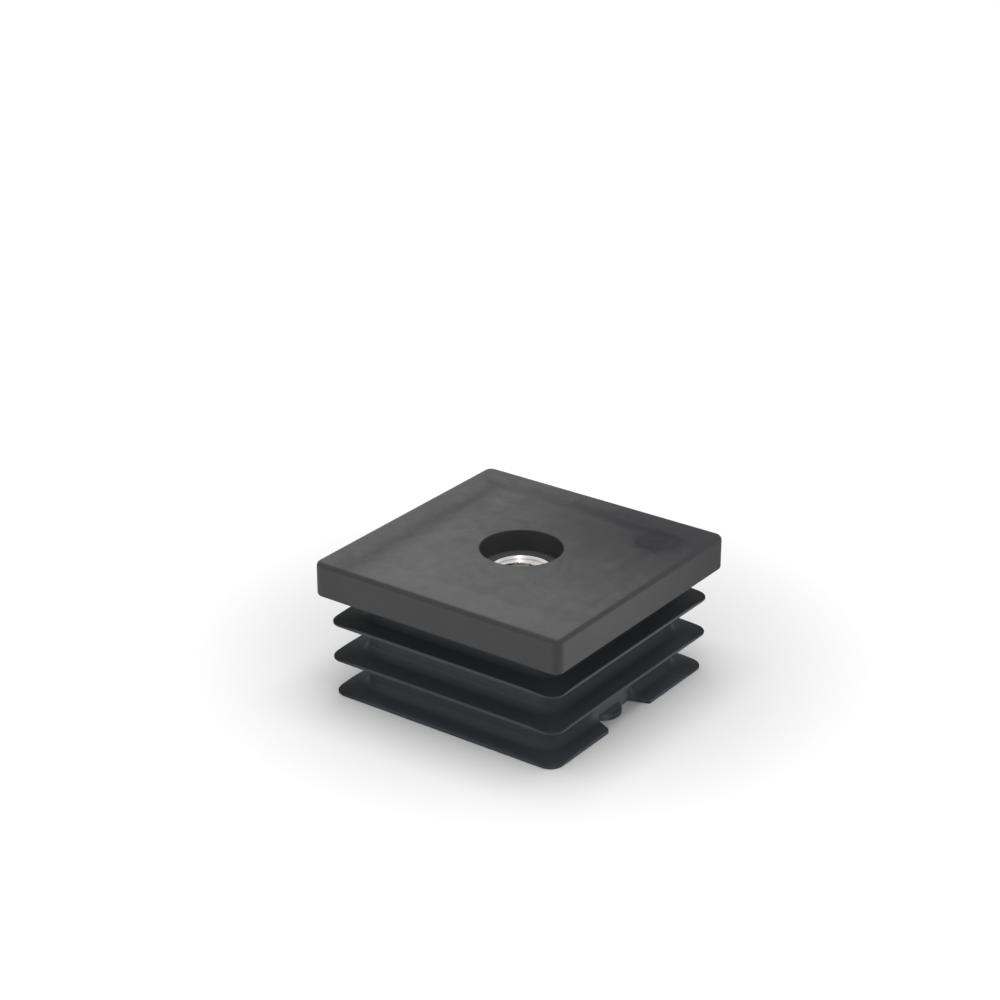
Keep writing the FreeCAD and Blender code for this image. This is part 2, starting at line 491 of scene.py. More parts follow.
@dataclass(frozen=True)
class StemTones:
    """Tones of the stem and fins, with painted light in the paler hollows, lowest fin and gate patch, and
    painted shade at fin corners and across X.
    """

    # Painted light: the roots in the hollows are paler than the rims
    root: Tone = colour(0.0475, 0.0505, 0.0555)
    rim: Tone = colour(0.0322, 0.0370, 0.0436)
    # Painted light: the lowest fin is paler still
    low_root: Tone = colour(0.0600, 0.0650, 0.0720)
    low_rim: Tone = colour(0.0400, 0.0460, 0.0540)
    # Painted shade at the fins' corners
    tip_shade: Tone = colour(0.0140, 0.0150, 0.0165)
    # Painted light on the wall round the gate mark
    painted_gate_light: Tone = colour(0.1150, 0.1220, 0.1330)
    gate_at: Pair = (-1.2, 1.4)
    gate_r: float = 3.0
    gate_stray: float = 3.0
    tip_from: float = 10.0
    tip_full: float = 18.5

    def by_gate(self, at: MouldingSurface) -> Signal:
        """Share of the paler patch of painted light on the wall round the gate mark.

        Args:
            at: Signals of the surface.

        Returns:
            Share from 0 to 1.
        """
        off = at.y.distance(at.z, self.gate_at) + at.stray(self.gate_stray)
        off_wall = at.x - at.WALL_X
        on_wall = off_wall.step(-0.2, -0.05) * off_wall.fade(0.7, 1.4) * at.z.fade(3.8, 4.8)
        return off.fade(self.gate_r, self.gate_r * 2) * on_wall

    def tone(self, at: MouldingSurface) -> Signal:
        """Tone below the head.

        Args:
            at: Signals of the surface.

        Returns:
            The colour.
        """
        blend = at.maker.blend
        # Painted shade: the walls across X take more of the darker rim tone
        outward = at.past_wall.step(0.6, 3.6).at_least(at.across * 0.6)
        root = blend(at.z.step(1.0, 2.0), self.low_root, self.root)
        rim = blend(at.z.step(2.0, 4.0), self.low_rim, self.rim)
        # Painted shade at the fins' corners, all but the front one
        at_tip = abs(at.x).at_most(abs(at.y)).step(self.tip_from, self.tip_full)
        at_tip = at_tip * (at.x - at.y).fade(8.0, 20.0)
        plain = blend(at_tip, blend(outward, root, rim), self.tip_shade)
        return blend(self.by_gate(at), plain, self.painted_gate_light)


@dataclass(frozen=True)
class MattPlastic(Finish):
    """Black plastic from a finely eroded mould, sleeker on its broad flat faces than in its hollows, with
    painted light and shade in its tones and sheen.
    """

    name: str = "matt_black_plastic"
    tone: Tone = colour(0.0399, 0.0403, 0.0421)
    dull_tone: Tone = colour(0.0327, 0.0333, 0.0352)
    # Painted shade in the top's dark corner; the same dark tone also darkens the smudge
    shade_and_smudge_tone: Tone = colour(0.0124, 0.0129, 0.0147)
    # Painted light on the floor of the seat
    painted_seat_light: Tone = colour(0.0620, 0.0630, 0.0620)
    corner_shade: float = 0.30
    smudge_grime: float = 0.60
    patch_marks: Pair = (0.35, 0.25)
    sunk_marks: float = 0.25
    roughness: float = 0.50
    dry_gloss: float = 0.06
    sleek_roughness: float = 0.42
    grain_per_mm: float = 5.5
    pits_per_mm: float = 1.925
    grain_depth: float = 0.010
    stem: StemTones = StemTones()
    shade_and_smudge: TopShadeAndSmudge = TopShadeAndSmudge()
    sheen: SkinSheen = SkinSheen()

    def shade(self, maker: NodeMaker) -> Signal:
        """Shader of the moulding.

        Args:
            maker: The maker of the material's nodes.

        Returns:
            The shader.
        """
        at = MouldingSurface(maker)
        grain = maker.noise(at.place, self.grain_per_mm, 3.0, 0.6)
        pits = maker.noise(at.place, self.pits_per_mm, 2.0, 0.5)
        patches = at.flow.step(0.40, 0.66)
        top_share, other_share = self.patch_marks
        marks = (patches * top_share + at.sunk * self.sunk_marks) * at.on_top
        marks = marks + (1 - at.on_top) * patches * other_share
        dark_corner = self.shade_and_smudge.corner(at)
        smudge = self.shade_and_smudge.smudge(at, dark_corner)
        # Painted shade darkens the top's dark corner, and the smudge darkens its own spot
        corner_shade_and_smudge = (dark_corner ** 3 * self.corner_shade + smudge * self.smudge_grime) * at.on_top
        skin = maker.blend(corner_shade_and_smudge, maker.blend(marks, self.tone, self.dull_tone), self.shade_and_smudge_tone)
        # Painted light on the floor of the seat
        on_seat = at.past_seat.fade(-0.09, 0.0) * at.z.fade(at.SEAT_FLOOR_Z, at.SEAT_FLOOR_Z + 0.4)
        head_tone = maker.blend(on_seat, skin, self.painted_seat_light)
        return maker.add("ShaderNodeBsdfPrincipled", inputs={
            "Base Color": maker.blend(at.on_head, self.stem.tone(at), head_tone),
            "Roughness": self.roughness + at.stray(0.16) + (grain - 0.5) * 0.10 + marks * 0.05,
            "IOR": 1.5,
            "Specular IOR Level": self.dry_gloss,
            "Coat Weight": self.sheen.strength(at, dark_corner, smudge),
            "Coat Roughness": self.sleek_roughness,
            "Coat IOR": 1.5,
            "Normal": maker.bump(pits * 0.5 + grain, self.grain_depth),
        })


@dataclass(frozen=True)
class ZincPlate(Finish):
    """Bright zinc over turned steel, with tool marks round the axis, a faint warm cast and a thin ring of
    painted shade inside the mouth.
    """

    name: str = "bright_zinc_plate"
    tone: Tone = colour(0.90, 0.90, 0.89)
    warm_tone: Tone = colour(0.74, 0.67, 0.62)
    # Painted shade: a thin dark ring inside the mouth
    edge_shade_tone: Tone = colour(0.20, 0.17, 0.16)
    cast_share: float = 0.60
    edge_shade_share: float = 0.55
    roughness: float = 0.20
    marks_per_mm: float = 9.0
    mark_depth: float = 0.004
    edge_shade_z: float = 16.43
    edge_shade_width: float = 0.13

    def shade(self, maker: NodeMaker) -> Signal:
        """Shader of the insert.

        Args:
            maker: The maker of the material's nodes.

        Returns:
            The shader.
        """
        place = maker.place()
        x, y, z = maker.axes(place)
        radius = x.distance(y)
        along = maker.add("ShaderNodeCombineXYZ", inputs={0: radius, 1: z, 2: abs(y.arctan2(x)) * 0.35})
        marks = maker.noise(along, self.marks_per_mm, 3.0, 0.6)
        cast = maker.noise(place, 0.7, 3.0, 0.55).step(0.42, 0.68)
        # Painted shade: a thin dark ring inside the mouth
        painted_edge_shade = z.hump(self.edge_shade_z, self.edge_shade_width) * radius.fade(4.1, 4.3)
        plate = maker.blend(cast * self.cast_share, self.tone, self.warm_tone)
        return maker.add("ShaderNodeBsdfPrincipled", inputs={
            "Base Color": maker.blend(painted_edge_shade * self.edge_shade_share, plate, self.edge_shade_tone),
            "Metallic": 1.0,
            "Roughness": self.roughness + (marks - 0.5) * 0.16 + cast * 0.06,
            "Normal": maker.bump(marks, self.mark_depth),
        })


@dataclass(frozen=True)
class PaleBoard(Finish):
    """White board that the cap stands on, with a painted shadow that darkens it near the cap."""

    name: str = "pale_board"
    tone: Tone = grey(0.93)
    painted_shadow_tone: Tone = grey(0.72)
    painted_shadow_at: Pair = (-5.0, 11.0)
    painted_shadow_r: float = 18.0
    far_r: float = 72.0

    def shade(self, maker: NodeMaker) -> Signal:
        """Shader of the board.

        Args:
            maker: The maker of the material's nodes.

        Returns:
            The shader.
        """
        x, y, _ = maker.axes(maker.place())
        # Painted shadow: the board's tone is darker near the cap and plain farther out
        far = x.distance(y, self.painted_shadow_at).step(self.painted_shadow_r, self.far_r)
        tone = maker.blend(far, self.painted_shadow_tone, self.tone)
        return maker.add("ShaderNodeBsdfDiffuse", inputs={"Color": tone, "Roughness": 0.3})


def add_object(name: str, data: bpy.types.ID) -> bpy.types.Object:
    """Put a mesh, a lamp or a camera into the scene.

    Args:
        name: Name of the object.
        data: What it shows.

    Returns:
        The object.
    """
    made = bpy.data.objects.new(name, data)
    bpy.context.scene.collection.objects.link(made)
    return made


class MeshDraft:
    """Collects points and faces in millimetres and makes one closed mesh of them."""

    MERGE = 2e-5
    SHARP_DEG = 32.0

    def __init__(self) -> None:
        """Start empty."""
        self.points: list[Points] = []
        self.faces: list[tuple[int, ...]] = []
        self.count = 0

    def add(self, points: Points) -> np.ndarray:
        """Add points.

        Args:
            points: Rows of X, Y and Z.

        Returns:
            The numbers of the new points.
        """
        self.points.append(np.asarray(points, float))
        numbers = np.arange(self.count, self.count + len(points))
        self.count += len(points)
        return numbers

    def sweep(self, rings: Sequence[Points]) -> None:
        """Join closed rings of equal length, each to the next, with four-sided faces."""
        numbers = [self.add(ring) for ring in rings]
        for low, high in zip(numbers, numbers[1:]):
            low_next = np.roll(low, -1)
            high_next = np.roll(high, -1)
            self.faces += list(zip(low, low_next, high_next, high))

    def face(self, points: Points) -> None:
        """Add one flat face with these corners."""
        self.faces.append(tuple(self.add(points)))

    def make(self, name: str) -> bpy.types.Object:
        """Make the object.

        Args:
            name: Name of the piece.

        Returns:
            The object, smooth but for its sharp edges.
        """
        mesh = bpy.data.meshes.new(name)
        points = (np.concatenate(self.points) * MM).tolist()
        mesh.from_pydata(points, [], [tuple(map(int, face)) for face in self.faces])
        work = bmesh.new()
        work.from_mesh(mesh)
        bmesh.ops.remove_doubles(work, verts=work.verts, dist=self.MERGE * MM)
        bmesh.ops.dissolve_degenerate(work, edges=work.edges, dist=self.MERGE * MM)
        bmesh.ops.recalc_face_normals(work, faces=work.faces)
        work.to_mesh(mesh)
        work.free()
        mesh.shade_smooth()
        mesh.set_sharp_from_angle(angle=math.radians(self.SHARP_DEG))
        made = add_object(name, mesh)
        weighted = made.modifiers.new("flat_faces", "WEIGHTED_NORMAL")
        weighted.keep_sharp = True
        return made


def at_height(flat: Points, z: float) -> Points:
    """Rows of X and Y, raised to one height."""
    return np.column_stack([flat, np.full(len(flat), z)])


def upright_line(x: float, marks: np.ndarray) -> Points:
    """Rows of X and Y at one X."""
    return np.column_stack([np.full(len(marks), x), marks])


def polar(radius: float | np.ndarray, angles: np.ndarray) -> Points:
    """Rows of X and Y from distances and angles."""
    return np.column_stack([radius * np.cos(angles), radius * np.sin(angles)])


def circle(radius: float, count: int) -> Points:
    """Evenly spaced points of a circle, starting on the +X side."""
    return polar(radius, np.arange(count) * 2 * math.pi / count)


def turned_flat(flat: Points, quarters: int) -> Points:
    """Rows of X and Y, turned by quarter turns about the axis."""
    for _ in range(quarters % 4):
        flat = np.column_stack([-flat[:, 1], flat[:, 0]])
    return flat


def arc_steps(count: int, start_deg: float = 0.0, end_deg: float = 90.0) -> list[float]:
    """Angles in radians, evenly spaced, ends included."""
    return [math.radians(angle) for angle in np.linspace(start_deg, end_deg, count)]


def soft_edge(radius: float, count: int) -> list[Pair]:
    """Points of a quarter round, each as its distances from the two faces that the round joins.

    Args:
        radius: Radius of the round.
        count: Number of points, ends included.

    Returns:
        Pairs from (radius, 0) to (0, radius).
    """
    return [(radius * (1 - math.sin(a)), radius * (1 - math.cos(a))) for a in arc_steps(count)]


@dataclass
class ThreadedInsert:
    """Steel insert: collar, two fluted bands with a groove between them, tail and threaded hole."""

    seat_z: float = 16.8
    mouth_r: float = 4.3
    collar_r: float = 4.55
    collar_length: float = 0.8
    collar_edge: float = 0.06
    band_r: float = 6.0
    band_length: float = 4.0
    groove_r: float = 5.2
    groove_length: float = 2.0
    tail_r: float = 5.2
    tail_length: float = 1.0
    flute_count: int = 16
    flute_depth: float = 0.4
    flute_width: float = 0.9
    thread_minor_r: float = 3.32
    thread_major_r: float = 4.0
    thread_pitch: float = 1.25
    thread_start: float = 11 / 16
    rows_per_pitch: int = 16
    columns: int = 160
    finish: ZincPlate = ZincPlate()

    @property
    def foot_z(self) -> float:
        """Height of the insert's lower end."""
        return self.seat_z - self.collar_length - 2 * self.band_length - self.groove_length - self.tail_length

    def fluted_ring(self, count: int) -> Points:
        """Outline of a band with its V flutes.

        Args:
            count: Number of points, a multiple of the number of flutes.

        Returns:
            Rows of X and Y, starting in the flute on the +X side.
        """
        steps = count // self.flute_count
        # A fifth of the points lies on each wall of the flute
        side = steps // 5
        root = self.band_r - self.flute_depth
        reach_x = 2 * self.flute_depth
        # Where the flute's straight wall meets the band's circle
        square = reach_x ** 2 + self.flute_width ** 2
        product = root * reach_x
        share = (math.sqrt(product ** 2 + square * (self.band_r ** 2 - root ** 2)) - product) / square
        mouth = np.array([root + reach_x * share, self.flute_width * share])
        mouth_angle = math.atan2(mouth[1], mouth[0])
        pitch = 2 * math.pi / self.flute_count
        points = []
        for flute in range(self.flute_count):
            for step in range(steps):
                near = step if step <= steps // 2 else step - steps
                if abs(near) <= side:
                    part = abs(near) / side
                    radius = math.hypot(root + (mouth[0] - root) * part, mouth[1] * part)
                    angle = math.atan2(mouth[1] * part, root + (mouth[0] - root) * part)
                else:
                    part = (abs(near) - side) / (steps / 2 - side)
                    radius = self.band_r
                    angle = mouth_angle + (pitch / 2 - mouth_angle) * part
                angle = math.copysign(angle, near) + pitch * (flute + (1 if near < 0 else 0))
                points.append((radius * math.cos(angle), radius * math.sin(angle)))
        return np.array(points)

    def outside_rings(self, count: int) -> list[Points]:
        """Outside of the insert below its collar's edge, from the tail's foot upwards.

        Args:
            count: Number of points in each ring.

        Returns:
            The rings.
        """
        tail = circle(self.tail_r, count)
        groove = circle(self.groove_r, count)
        collar = circle(self.collar_r, count)
        band = self.fluted_ring(count)
        heights = [self.foot_z]
        for length in (self.tail_length, self.band_length, self.groove_length, self.band_length):
            heights.append(heights[-1] + length)
        foot, band_foot, groove_foot, groove_top, band_top = heights
        return [
            at_height(tail, foot), at_height(tail, band_foot),
            at_height(band, band_foot), at_height(band, groove_foot),
            at_height(groove, groove_foot), at_height(groove, groove_top),
            at_height(band, groove_top), at_height(band, band_top),
            at_height(collar, band_top),
        ]

    def thread_radius(self, phase: np.ndarray) -> np.ndarray:
        """Radius of the thread's profile.

        Args:
            phase: Place along the axis in turns, 0 at the middle of a crest.

        Returns:
            Radius in millimetres.
        """
        off_crest = np.abs((phase + 0.5) % 1.0 - 0.5) * self.thread_pitch
        flank = (off_crest - self.thread_pitch / 8) * math.sqrt(3)
        return self.thread_minor_r + np.clip(flank, 0.0, self.thread_major_r - self.thread_minor_r)

    def bore_grid(self) -> Points:
        """Threaded hole with its chamfers, as rows that climb with the thread.

        Returns:
            Points by row and column.
        """
        rows_below = self.rows_per_pitch
        length = self.seat_z - self.foot_z
        rows = rows_below + math.ceil(length / self.thread_pitch * self.rows_per_pitch) + 1
        turn = np.arange(self.columns) / self.columns
        climb = (np.arange(rows)[:, None] - rows_below) / self.rows_per_pitch
        height = self.foot_z + self.thread_pitch * (climb + turn[None, :])
        radius = self.thread_radius(climb - self.thread_start) + np.zeros_like(height)
        height = np.clip(height, self.foot_z, self.seat_z)
        chamfer = self.mouth_r - np.minimum(height - self.foot_z, self.seat_z - height)
        radius = np.maximum(radius, chamfer)
        angle = turn * 2 * math.pi
        return np.stack([radius * np.cos(angle), radius * np.sin(angle), height], axis=-1)

    def build(self) -> bpy.types.Object:
        """Make the insert's mesh.

        Returns:
            The piece.
        """
        draft = MeshDraft()
        numbers = np.stack([draft.add(row) for row in self.bore_grid()])
        # The last column meets the first one a whole pitch higher
        for row, (low, high) in enumerate(zip(numbers, numbers[1:])):
            draft.faces += list(zip(low, low[1:], high[1:], high))
            lifted = row + self.rows_per_pitch
            if lifted + 1 < len(numbers):
                last, first = numbers[row:row + 2, -1], numbers[lifted:lifted + 2, 0]
                draft.faces.append((last[0], first[0], first[1], last[1]))
        count = self.columns
        mouth = circle(self.mouth_r, count)
        face_edge = circle(self.collar_r - self.collar_edge, count)
        collar = circle(self.collar_r, count)
        draft.sweep(
            [at_height(mouth, self.foot_z)]
            + self.outside_rings(count)
            + [at_height(collar, self.seat_z - self.collar_edge), at_height(face_edge, self.seat_z),
               at_height(mouth, self.seat_z)]
        )
        return draft.make("zinc_thread_insert")

    def dress(self, piece: bpy.types.Object) -> None:
        """Give the piece its finish and its place in the frame.

        Args:
            piece: The piece.
        """
        piece.data.materials.append(self.finish.material())
        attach(piece, "root")
        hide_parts("threaded_insert")


@dataclass
class CapBody:
    """The plastic moulding: head, stem, fins, and the boss and ribs inside."""

    insert: ThreadedInsert
    head_side: float = 40.0
    head_thick: float = 5.0
    head_corner_r: float = 1.3
    head_top_edge_r: float = 0.7
    head_lower_edge_r: float = 0.4
    head_skin: float = 3.0
    stem_side: float = 31.0
    stem_length: float = 15.0
    stem_corner_r: float = 2.4
    stem_wall: float = 2.0
    core_draft_deg: float = 0.5
    core_corner_r: float = 0.4
    fin_count: int = 3
    fin_side: float = 37.6
    lead_fin_side: float = 36.9
    fin_pitch: float = 5.3
    fin_rim_thick: float = 0.55
    fin_root_thick: float = 1.0
    fin_corner_r: float = 2.0
    fin_root_round: float = 1.2
    fin_rim_round: float = 0.12
    under_round: float = 0.3
    notch_offset: float = -0.6
    notch_root_width: float = 8.0
    notch_rim_width: float = 10.0
    notch_corner_r: float = 0.4
    gate_offset: float = -1.2
    gate_width: float = 4.8
    gate_reach: float = 1.5
    gate_thick: float = 0.85
    gate_round: float = 0.12
    boss_wall: float = 2.3
    boss_lift: float = 1.0
    rib_thick: float = 1.5
    outlet_r: float = 4.4
    seat_r: float = 5.7
    seat_depth: float = 3.2
    seat_chamfer: float = 0.1
    seat_floor_round: float = 0.2
    foot_round: float = 0.15
    ceiling_round: float = 0.4
    sink_depth: float = 0.03
    sink_width: float = 1.1
    rib_sink_share: float = 0.4
    finish: MattPlastic = MattPlastic()

    # Points of half a straight side, from its middle outwards, and of a corner
    GATE_STEPS = 8
    WALL_STEPS = 3
    LIP_STEPS = 6
    OUTER_STEPS = 17
    CORNER_STEPS = 16
    CORNER_END_STEPS = 4
    RIB_STEPS = 4
    TOP_RINGS = 44
    # Points of rounds, of the boss between two ribs and of a rib's side
    ROOT_POINTS = 13
    TOP_EDGE_POINTS = 9
    LOWER_EDGE_POINTS = 6
    SOFT_POINTS = 5
    FINE_POINTS = 4
    BOSS_POINTS = 25
    RIB_SIDE_POINTS = 7
    # Shares of a fin's slope at which its rings lie
    SLOPE_SHARES = (0.35, 0.7, 1.0)

    @property
    def half_steps(self) -> int:
        """Steps of half a straight side."""
        return self.GATE_STEPS + self.WALL_STEPS + self.LIP_STEPS + self.OUTER_STEPS

    @property
    def quarter_steps(self) -> int:
        """Steps of a quarter of a ring."""
        return 2 * self.half_steps + self.CORNER_STEPS

    @property
    def ring_steps(self) -> int:
        """Steps of a whole ring."""
        return 4 * self.quarter_steps

    @property
    def top_z(self) -> float:
        """Height of the head's top."""
        return self.stem_length + self.head_thick

    @property
    def root_x(self) -> float:
        """Half the stem's side, where the fins begin."""
        return self.stem_side / 2

    @property
    def draft(self) -> float:
        """Slope of the core's walls."""
        return math.tan(math.radians(self.core_draft_deg))

    def notch_edge(self, x: np.ndarray | float) -> np.ndarray:
        """Half width of the notch.

        Args:
            x: Distance from the middle of the cap.

        Returns:
            Distance of the notch's side from its middle, with the rounded corner at the rim.
        """
        rim_x = self.lead_fin_side / 2
        run = rim_x - self.root_x
        flare = (self.notch_rim_width - self.notch_root_width) / 2 / run
        turn = math.pi / 2 + math.atan(flare)
        tangent = self.notch_corner_r / math.tan(turn / 2)
        centre_x = rim_x - self.notch_corner_r
        centre_y = self.notch_rim_width / 2 + tangent
        straight = self.notch_root_width / 2 + flare * (np.asarray(x, float) - self.root_x)
        meets_x = rim_x - tangent * math.cos(math.atan(flare))
        depth = np.clip(self.notch_corner_r ** 2 - (np.asarray(x, float) - centre_x) ** 2, 0.0, None)
        return np.where(np.asarray(x) > meets_x, centre_y - np.sqrt(depth), straight)

    def gate_tab(self, y: np.ndarray, inset: float) -> np.ndarray:
        """Reach of the gate mark's curved edge beyond the stem.

        Args:
            y: Distance from the middle of the notch.
            inset: How far the edge is drawn in, for its rounding.

        Returns:
            Reach in millimetres, 0 at the wall.
        """
        half = self.gate_width / 2
        radius = (half ** 2 + self.gate_reach ** 2) / (2 * self.gate_reach)
        depth = np.clip((radius - inset) ** 2 - y ** 2, 0.0, None)
        return np.clip(self.gate_reach - radius + np.sqrt(depth), 0.0, None)

    def half_side(self, half: float, flat: float, spread: Spread, tab: float | None, aside: float) -> Points:
        """Points of the +X side from its middle, or the gate mark's, to the start of the corner.

        Args:
            half: Half the ring's side.
            flat: Length from that middle to the corner.
            spread: How the points are spread.
            tab: Inset of the gate mark's edge, or None where there is no gate mark.
            aside: How far the notch's middle lies from the gate mark's, towards this half.

        Returns:
            Rows of X and Y.
        """
        if spread is Spread.EVEN:
            marks = np.linspace(0, flat, self.half_steps + 1)
            return upright_line(half, marks)
        if spread is Spread.RIBBED:
            rib = self.rib_thick / 2
            inner = np.linspace(0, rib, self.RIB_STEPS + 1)
            outer = np.linspace(rib, flat, self.half_steps - self.RIB_STEPS + 1)[1:]
            marks = np.concatenate([inner, outer])
            return upright_line(half, marks)
        wall_x = min(half, self.root_x)
        gate = np.linspace(0, self.gate_width / 2, self.GATE_STEPS + 1)
        gate_x = np.full(len(gate), wall_x)
        if tab is not None:
            gate_x = gate_x + self.gate_tab(gate, tab)
        wall_end = float(self.notch_edge(wall_x)) + aside
        wall = np.linspace(self.gate_width / 2, wall_end, self.WALL_STEPS + 1)[1:]
        rim_x = self.lead_fin_side / 2
        arc_x = rim_x - self.notch_corner_r * np.linspace(0.65, 0, self.LIP_STEPS) ** 1.6
        lip_x = np.minimum(arc_x, half)
        lip = self.notch_edge(lip_x) + aside
        start = float(self.notch_edge(half)) + aside
        outer = np.linspace(start, flat, self.OUTER_STEPS + 1)[1:]
        return np.concatenate([
            np.column_stack([gate_x, gate]),
            upright_line(wall_x, wall),
            np.column_stack([lip_x, lip]),
            upright_line(half, outer),
        ])

    def ring(self, half: float, flat: float, corner: Points, z: float | np.ndarray, spread: Spread,
             tab: float | None = None) -> Points:
        """Ring of four equal sides and corners.

        Args:
            half: Half the ring's side.
            flat: Half the straight length of its sides.
            corner: X and Y of the points between the +X and the +Y side.
            z: Height of the ring.
            spread: How the points of its sides are spread. The notch is on the +X side alone.
            tab: Inset of the gate mark's edge, or None where there is no gate mark.

        Returns:
            Rows of X, Y and Z, starting near the middle of the +X side.
        """
        sides = []
        for quarter in range(4):
            kind, shift, aside = spread, 0.0, 0.0
            if spread is Spread.NOTCHED and quarter:
                kind = Spread.EVEN
            elif spread is Spread.NOTCHED:
                shift, aside = self.gate_offset, self.notch_offset - self.gate_offset
            upper = self.half_side(half, flat - shift, kind, tab, aside)
            lower = self.half_side(half, flat + shift, kind, tab, -aside) * (1, -1)
            side = np.concatenate([lower[:0:-1], upper]) + (0, shift)
            sides.append(turned_flat(np.concatenate([side, corner]), quarter))
        return at_height(np.roll(np.concatenate(sides), -self.half_steps, axis=0), z)

    def square_ring(self, half: float, corner_r: float, z: float, spread: Spread = Spread.EVEN) -> Points:
        """Ring round a square with rounded corners.

        Args:
            half: Half the square's side.
            corner_r: Radius of its corners.
            z: Height of the ring.
            spread: How its points are spread.

        Returns:
            Rows of X, Y and Z.
        """
        flat = half - corner_r
        angles = np.array(arc_steps(self.CORNER_STEPS + 1)[1:-1])
        return self.ring(half, flat, flat + polar(corner_r, angles), z, spread)

    @property
    def fin_rays(self) -> np.ndarray:
        """Angles of the corner points of stem and fins, seen from the axis of the stem's corner.

        Returns:
            The angles in radians, from the +X side to the +Y side.
        """
        out = self.fin_side / 2 - self.root_x
        along = out - self.fin_corner_r + self.stem_corner_r
        turns = np.array(arc_steps(self.CORNER_STEPS - 2 * self.CORNER_END_STEPS + 1))
        arc = np.arctan2(along + self.fin_corner_r * np.sin(turns), along + self.fin_corner_r * np.cos(turns))
        ends = np.linspace(0, arc[0], self.CORNER_END_STEPS + 1)[1:-1]
        return np.concatenate([ends, arc, math.pi / 2 - ends[::-1]])

    def fin_ring(self, gap: float, corner_r: float, z: float, spread: Spread = Spread.EVEN,
                 tab: float | None = None, fall: float = 0.0) -> Points:
        """Ring round the stem or a fin, with its corner points on rays from the stem's corner axis.

        Args:
            gap: Distance of its sides from the stem's wall.
            corner_r: Radius of its corners.
            z: Height of the ring's sides.
            spread: How its points are spread.
            tab: Inset of the gate mark's edge, or None where there is no gate mark.
            fall: Slope at which corners that reach farther out than the sides lie lower.

        Returns:
            Rows of X, Y and Z.
        """
        axis = self.root_x - self.stem_corner_r
        side = gap + self.stem_corner_r
        rays = self.fin_rays
        lean = np.cos(rays) + np.sin(rays)
        middle = side - corner_r
        inner = middle * lean
        arc = inner + np.sqrt(np.clip(inner ** 2 - 2 * middle ** 2 + corner_r ** 2, 0, None))
        straight = side / np.maximum(np.cos(rays), np.sin(rays))
        on_side = straight * np.minimum(np.cos(rays), np.sin(rays)) < middle
        reach = np.where(on_side, straight, arc)
        ring = self.ring(side + axis, axis, axis + polar(reach, rays), z, spread, tab)
        out = np.hypot(*np.maximum(np.abs(ring[:, :2]) - axis, 0).T) - side
        ring[:, 2] -= fall * np.clip(out, 0, None)
        return ring

    def circle_ring(self, radius: float, z: float) -> Points:
        """Ring round a circle, starting on the +X side."""
        return at_height(circle(radius, self.ring_steps), z)

    def sink(self, x: np.ndarray, y: np.ndarray) -> np.ndarray:
        """Depth of the shallow sinks in the head's top, over the walls and ribs below.

        Args:
            x: Places across the cap.
            y: Places across the cap.

        Returns:
            Depth in millimetres.
        """
        reach = np.maximum(np.abs(x), np.abs(y))
        wall = self.root_x - self.stem_wall / 2
        over_wall = np.exp(-((reach - wall) / self.sink_width) ** 2)
        radius = np.hypot(x, y)
        boss = self.insert.band_r + self.boss_wall
        outside_boss = np.clip((radius - boss) / 2, 0, 1)
        inside_wall = np.clip((wall - reach) / 2, 0, 1)
        lane = np.minimum(np.abs(x), np.abs(y))
        over_rib = np.exp(-(lane / self.sink_width) ** 2) * outside_boss * inside_wall
        return self.sink_depth * (over_wall + self.rib_sink_share * over_rib)

    def pocket_rings(self) -> list[Points]:
        """Outlet and pocket of the insert, from the boss's foot up to the seat's floor."""
        return [
            self.circle_ring(self.outlet_r, self.boss_lift),
            self.circle_ring(self.outlet_r, self.insert.foot_z),
            *self.insert.outside_rings(self.ring_steps),
            self.circle_ring(self.insert.collar_r, self.top_z - self.seat_depth),
        ]

    def seat_rings(self) -> list[Points]:
        """Floor, wall and chamfered rim of the seat.

        Returns:
            The rings.
        """
        floor_z = self.top_z - self.seat_depth
        rings = [self.circle_ring(self.seat_r - drawn, floor_z + up)
                 for drawn, up in soft_edge(self.seat_floor_round, self.FINE_POINTS)]
        rim_z = self.top_z - self.seat_chamfer
        rings.append(self.circle_ring(self.seat_r, (floor_z + rim_z) / 2))
        rings.append(self.circle_ring(self.seat_r, rim_z))
        rings.append(self.circle_ring(self.seat_r + self.seat_chamfer, self.top_z))
        return rings

    def top_rings(self) -> list[Points]:
        """The head's top, from the seat's rim to the soft outer edge, with its sinks.

        Returns:
            The rings.
        """
        circle = self.circle_ring(self.seat_r + self.seat_chamfer, self.top_z)
        edge = self.head_top_edge_r
        square = self.square_ring(self.head_side / 2 - edge, self.head_corner_r - edge, self.top_z)
        rings = []
        for share in np.linspace(0, 1, self.TOP_RINGS + 1)[1:]:
            ring = circle * (1 - share) + square * share
            fade = min(1.0, 8 * share, 8 * (1 - share))
            ring[:, 2] -= self.sink(ring[:, 0], ring[:, 1]) * fade
            rings.append(ring)
        return rings

    def head_side_rings(self) -> list[Points]:
        """The head's outer edge, side, lower edge and underside, down to the stem.

        Returns:
            The rings.
        """
        half = self.head_side / 2
        upper = soft_edge(self.head_top_edge_r, self.TOP_EDGE_POINTS)[1:]
        lower = soft_edge(self.head_lower_edge_r, self.LOWER_EDGE_POINTS)
        levels = [(self.top_z - drop, drawn) for drawn, drop in upper]
        levels += [(self.stem_length + up, drawn) for up, drawn in lower]
        rings = [self.square_ring(half - drawn, self.head_corner_r - drawn, z) for z, drawn in levels]
        return rings + self.under_rings(self.stem_length)

    def under_rings(self, z: float) -> list[Points]:
        """Soft inner corner between the stem and a flat face above it."""
        return [self.fin_ring(gap, self.stem_corner_r + gap, z - drop)
                for gap, drop in soft_edge(self.under_round, self.SOFT_POINTS)]

